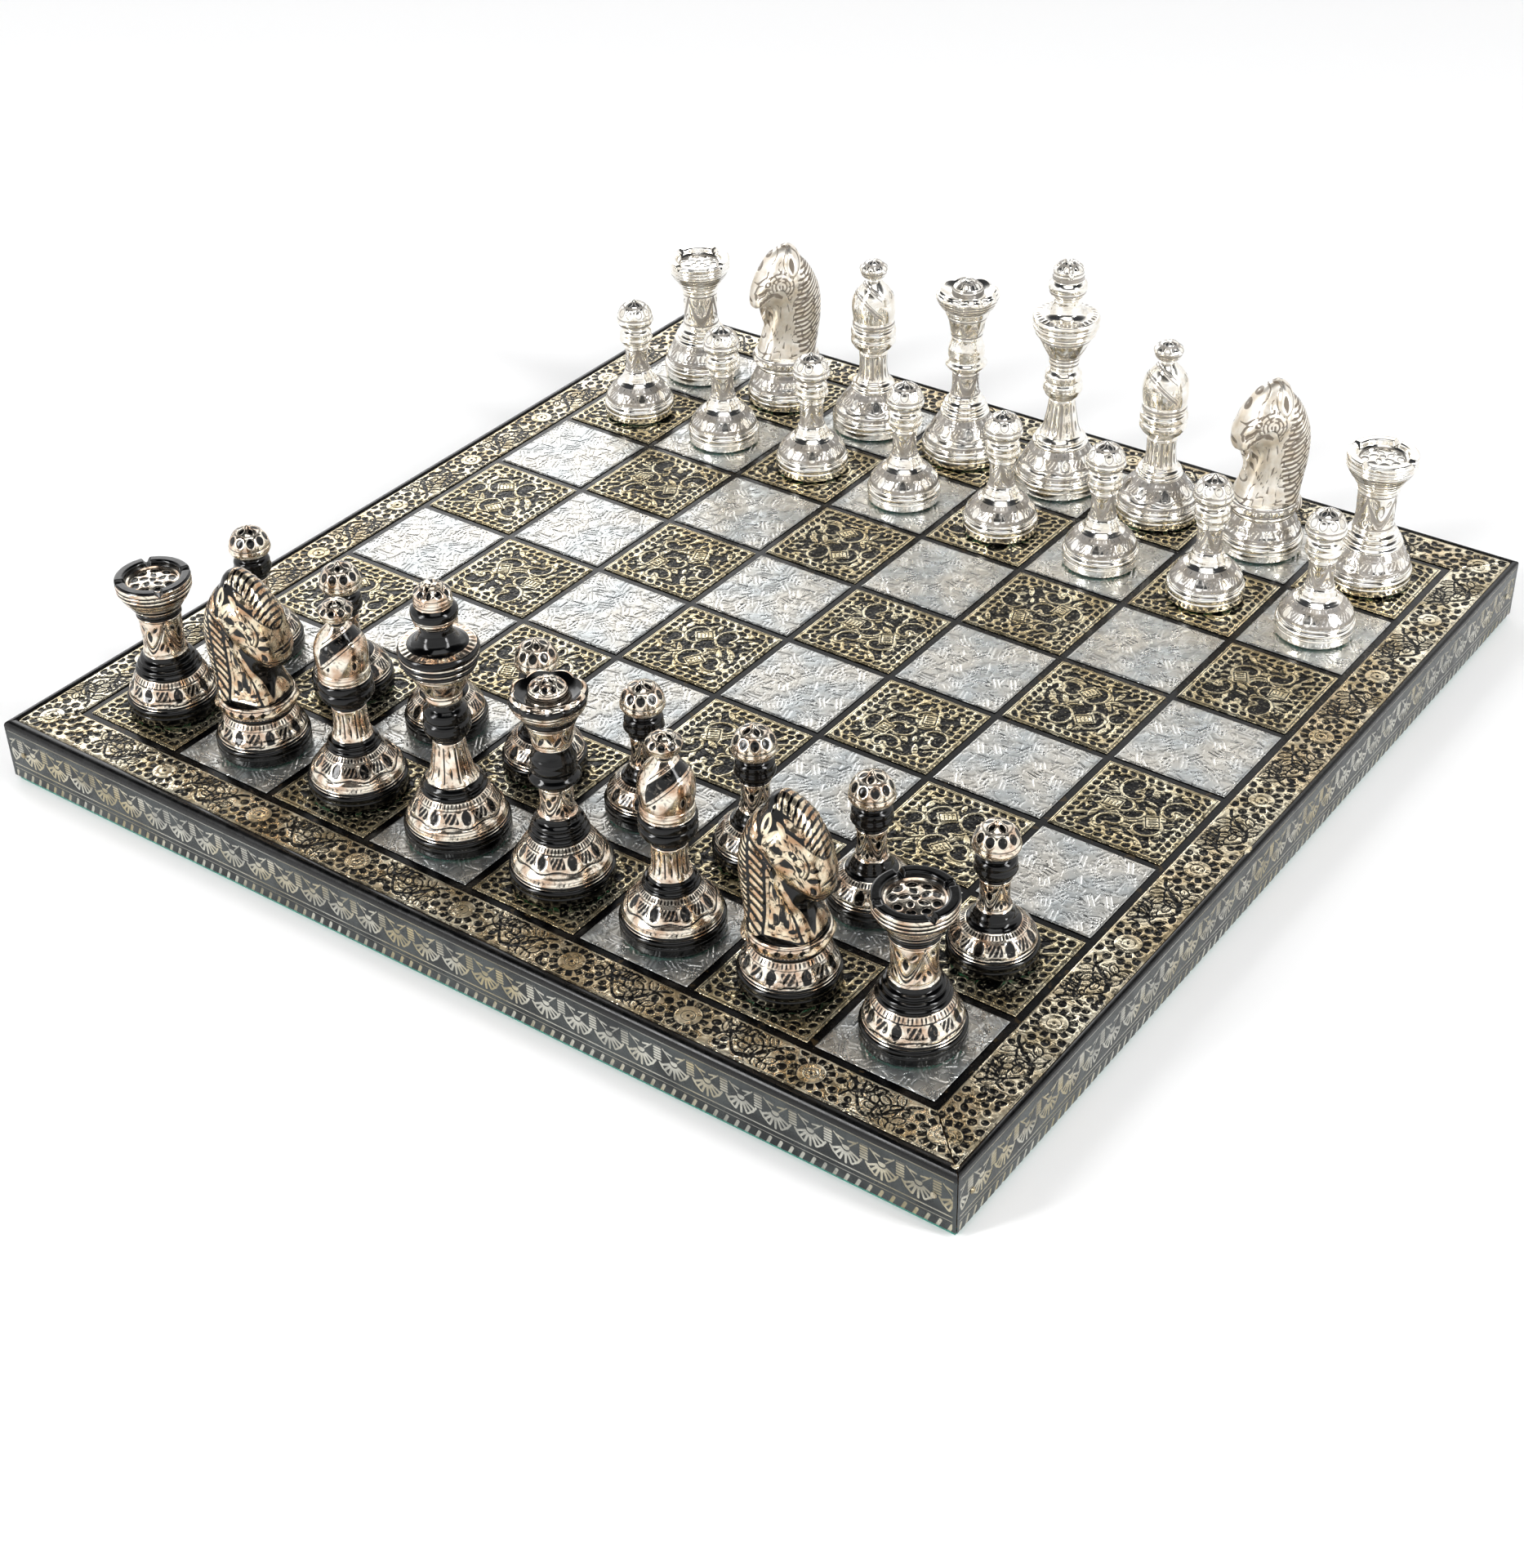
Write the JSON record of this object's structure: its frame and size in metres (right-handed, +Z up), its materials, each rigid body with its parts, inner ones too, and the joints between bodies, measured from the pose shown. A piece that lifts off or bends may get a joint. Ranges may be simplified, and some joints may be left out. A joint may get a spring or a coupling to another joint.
{
  "type": "chess set",
  "caption": "Square metal-clad chess board with engraved squares and border, set out with its turned, engraved metal chessmen, which lift off the board.",
  "frame": {"origin": "centre of the board's underside, on the felt", "axes": "+Z up out of the playing surface, +X along the back ranks, +Y from the black side to the silver side"},
  "size_m": [0.3064, 0.3064, 0.0923],
  "materials": {
    "core_wood": "plain plywood core, hidden by the sheets",
    "green_felt": "short-napped green felt",
    "field_metal": "chased sheet, squares alternately nickel plated and brass with black lacquer in the cuts",
    "engraved_brass": "polished brass with black lacquer in the engraved flowers and leaves",
    "black_lacquer": "glossy black lacquer on brass, engraved through to bright metal",
    "black_copper_metal": "polished copper-toned bands between glossy black lacquered rings",
    "silver_plate": "bright nickel plate on brass, lightly engraved"
  },
  "bodies": {
    "board": {"board_core": "core_wood", "felt_base": "green_felt", "field_sheet": "field_metal", "border_strip_front": "engraved_brass", "border_strip_right": "engraved_brass", "border_strip_back": "engraved_brass", "border_strip_left": "engraved_brass", "edge_band_front": "black_lacquer", "edge_band_right": "black_lacquer", "edge_band_back": "black_lacquer", "edge_band_left": "black_lacquer", "edge_nail_front_1": "black_lacquer", "edge_nail_front_2": "black_lacquer", "edge_nail_right_1": "black_lacquer", "edge_nail_right_2": "black_lacquer", "edge_nail_back_1": "black_lacquer", "edge_nail_back_2": "black_lacquer", "edge_nail_left_1": "black_lacquer", "edge_nail_left_2": "black_lacquer"},
    "black_rook_1": {"black_rook_1": "black_copper_metal"},
    "black_knight_1": {"black_knight_1": "black_copper_metal"},
    "black_bishop_1": {"black_bishop_1": "black_copper_metal"},
    "black_king": {"black_king": "black_copper_metal"},
    "black_queen": {"black_queen": "black_copper_metal"},
    "black_bishop_2": {"black_bishop_2": "black_copper_metal"},
    "black_knight_2": {"black_knight_2": "black_copper_metal"},
    "black_rook_2": {"black_rook_2": "black_copper_metal"},
    "black_pawn_1": {"black_pawn_1": "black_copper_metal"},
    "black_pawn_2": {"black_pawn_2": "black_copper_metal"},
    "black_pawn_3": {"black_pawn_3": "black_copper_metal"},
    "black_pawn_4": {"black_pawn_4": "black_copper_metal"},
    "black_pawn_5": {"black_pawn_5": "black_copper_metal"},
    "black_pawn_6": {"black_pawn_6": "black_copper_metal"},
    "black_pawn_7": {"black_pawn_7": "black_copper_metal"},
    "black_pawn_8": {"black_pawn_8": "black_copper_metal"},
    "silver_rook_1": {"silver_rook_1": "silver_plate"},
    "silver_knight_1": {"silver_knight_1": "silver_plate"},
    "silver_bishop_1": {"silver_bishop_1": "silver_plate"},
    "silver_queen": {"silver_queen": "silver_plate"},
    "silver_king": {"silver_king": "silver_plate"},
    "silver_bishop_2": {"silver_bishop_2": "silver_plate"},
    "silver_knight_2": {"silver_knight_2": "silver_plate"},
    "silver_rook_2": {"silver_rook_2": "silver_plate"},
    "silver_pawn_1": {"silver_pawn_1": "silver_plate"},
    "silver_pawn_2": {"silver_pawn_2": "silver_plate"},
    "silver_pawn_3": {"silver_pawn_3": "silver_plate"},
    "silver_pawn_4": {"silver_pawn_4": "silver_plate"},
    "silver_pawn_5": {"silver_pawn_5": "silver_plate"},
    "silver_pawn_6": {"silver_pawn_6": "silver_plate"},
    "silver_pawn_7": {"silver_pawn_7": "silver_plate"},
    "silver_pawn_8": {"silver_pawn_8": "silver_plate"}
  },
  "joints": [
    {"name": "lift_black_rook_1", "type": "slide", "parent": "board", "child": "black_rook_1", "axis": [0, 0, 1], "range_m": [0, 0.08]},
    {"name": "lift_black_knight_1", "type": "slide", "parent": "board", "child": "black_knight_1", "axis": [0, 0, 1], "range_m": [0, 0.08]},
    {"name": "lift_black_bishop_1", "type": "slide", "parent": "board", "child": "black_bishop_1", "axis": [0, 0, 1], "range_m": [0, 0.08]},
    {"name": "lift_black_king", "type": "slide", "parent": "board", "child": "black_king", "axis": [0, 0, 1], "range_m": [0, 0.08]},
    {"name": "lift_black_queen", "type": "slide", "parent": "board", "child": "black_queen", "axis": [0, 0, 1], "range_m": [0, 0.08]},
    {"name": "lift_black_bishop_2", "type": "slide", "parent": "board", "child": "black_bishop_2", "axis": [0, 0, 1], "range_m": [0, 0.08]},
    {"name": "lift_black_knight_2", "type": "slide", "parent": "board", "child": "black_knight_2", "axis": [0, 0, 1], "range_m": [0, 0.08]},
    {"name": "lift_black_rook_2", "type": "slide", "parent": "board", "child": "black_rook_2", "axis": [0, 0, 1], "range_m": [0, 0.08]},
    {"name": "lift_black_pawn_1", "type": "slide", "parent": "board", "child": "black_pawn_1", "axis": [0, 0, 1], "range_m": [0, 0.08]},
    {"name": "lift_black_pawn_2", "type": "slide", "parent": "board", "child": "black_pawn_2", "axis": [0, 0, 1], "range_m": [0, 0.08]},
    {"name": "lift_black_pawn_3", "type": "slide", "parent": "board", "child": "black_pawn_3", "axis": [0, 0, 1], "range_m": [0, 0.08]},
    {"name": "lift_black_pawn_4", "type": "slide", "parent": "board", "child": "black_pawn_4", "axis": [0, 0, 1], "range_m": [0, 0.08]},
    {"name": "lift_black_pawn_5", "type": "slide", "parent": "board", "child": "black_pawn_5", "axis": [0, 0, 1], "range_m": [0, 0.08]},
    {"name": "lift_black_pawn_6", "type": "slide", "parent": "board", "child": "black_pawn_6", "axis": [0, 0, 1], "range_m": [0, 0.08]},
    {"name": "lift_black_pawn_7", "type": "slide", "parent": "board", "child": "black_pawn_7", "axis": [0, 0, 1], "range_m": [0, 0.08]},
    {"name": "lift_black_pawn_8", "type": "slide", "parent": "board", "child": "black_pawn_8", "axis": [0, 0, 1], "range_m": [0, 0.08]},
    {"name": "lift_silver_rook_1", "type": "slide", "parent": "board", "child": "silver_rook_1", "axis": [0, 0, 1], "range_m": [0, 0.08]},
    {"name": "lift_silver_knight_1", "type": "slide", "parent": "board", "child": "silver_knight_1", "axis": [0, 0, 1], "range_m": [0, 0.08]},
    {"name": "lift_silver_bishop_1", "type": "slide", "parent": "board", "child": "silver_bishop_1", "axis": [0, 0, 1], "range_m": [0, 0.08]},
    {"name": "lift_silver_queen", "type": "slide", "parent": "board", "child": "silver_queen", "axis": [0, 0, 1], "range_m": [0, 0.08]},
    {"name": "lift_silver_king", "type": "slide", "parent": "board", "child": "silver_king", "axis": [0, 0, 1], "range_m": [0, 0.08]},
    {"name": "lift_silver_bishop_2", "type": "slide", "parent": "board", "child": "silver_bishop_2", "axis": [0, 0, 1], "range_m": [0, 0.08]},
    {"name": "lift_silver_knight_2", "type": "slide", "parent": "board", "child": "silver_knight_2", "axis": [0, 0, 1], "range_m": [0, 0.08]},
    {"name": "lift_silver_rook_2", "type": "slide", "parent": "board", "child": "silver_rook_2", "axis": [0, 0, 1], "range_m": [0, 0.08]},
    {"name": "lift_silver_pawn_1", "type": "slide", "parent": "board", "child": "silver_pawn_1", "axis": [0, 0, 1], "range_m": [0, 0.08]},
    {"name": "lift_silver_pawn_2", "type": "slide", "parent": "board", "child": "silver_pawn_2", "axis": [0, 0, 1], "range_m": [0, 0.08]},
    {"name": "lift_silver_pawn_3", "type": "slide", "parent": "board", "child": "silver_pawn_3", "axis": [0, 0, 1], "range_m": [0, 0.08]},
    {"name": "lift_silver_pawn_4", "type": "slide", "parent": "board", "child": "silver_pawn_4", "axis": [0, 0, 1], "range_m": [0, 0.08]},
    {"name": "lift_silver_pawn_5", "type": "slide", "parent": "board", "child": "silver_pawn_5", "axis": [0, 0, 1], "range_m": [0, 0.08]},
    {"name": "lift_silver_pawn_6", "type": "slide", "parent": "board", "child": "silver_pawn_6", "axis": [0, 0, 1], "range_m": [0, 0.08]},
    {"name": "lift_silver_pawn_7", "type": "slide", "parent": "board", "child": "silver_pawn_7", "axis": [0, 0, 1], "range_m": [0, 0.08]},
    {"name": "lift_silver_pawn_8", "type": "slide", "parent": "board", "child": "silver_pawn_8", "axis": [0, 0, 1], "range_m": [0, 0.08]}
  ]
}
